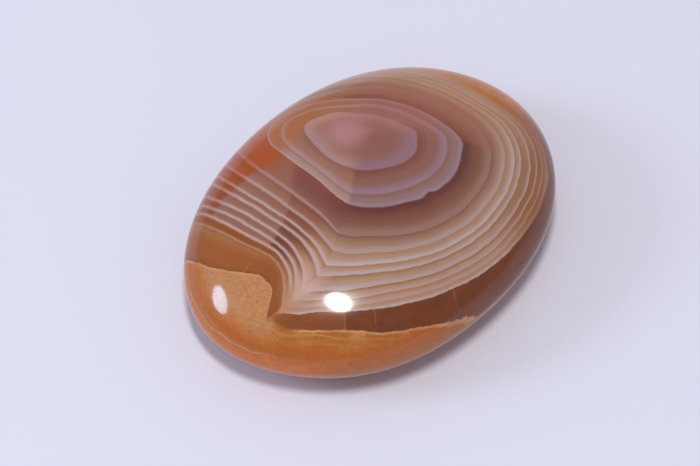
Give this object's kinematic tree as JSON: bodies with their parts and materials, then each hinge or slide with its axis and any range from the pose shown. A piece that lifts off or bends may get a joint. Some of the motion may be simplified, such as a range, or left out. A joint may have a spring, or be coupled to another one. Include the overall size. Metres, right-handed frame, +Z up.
{
  "type": "agate cabochon",
  "caption": "Oval polished agate cabochon: a low dome over a rounded girdle, with a steep bevel and a small flat back.",
  "frame": {"origin": "the middle of the flat back, under the centre of the oval's box", "axes": "+X along the oval's length, towards the end with the wide arcs of banding; +Y across its width; +Z up from the flat back to the crown of the dome"},
  "size_m": [0.04, 0.0298, 0.0117],
  "materials": {
    "polished_agate": "mirror polished, banded in brown, cream and mauve over an orange rind"
  },
  "bodies": {
    "root": {"agate_cabochon": "polished_agate"}
  },
  "joints": []
}
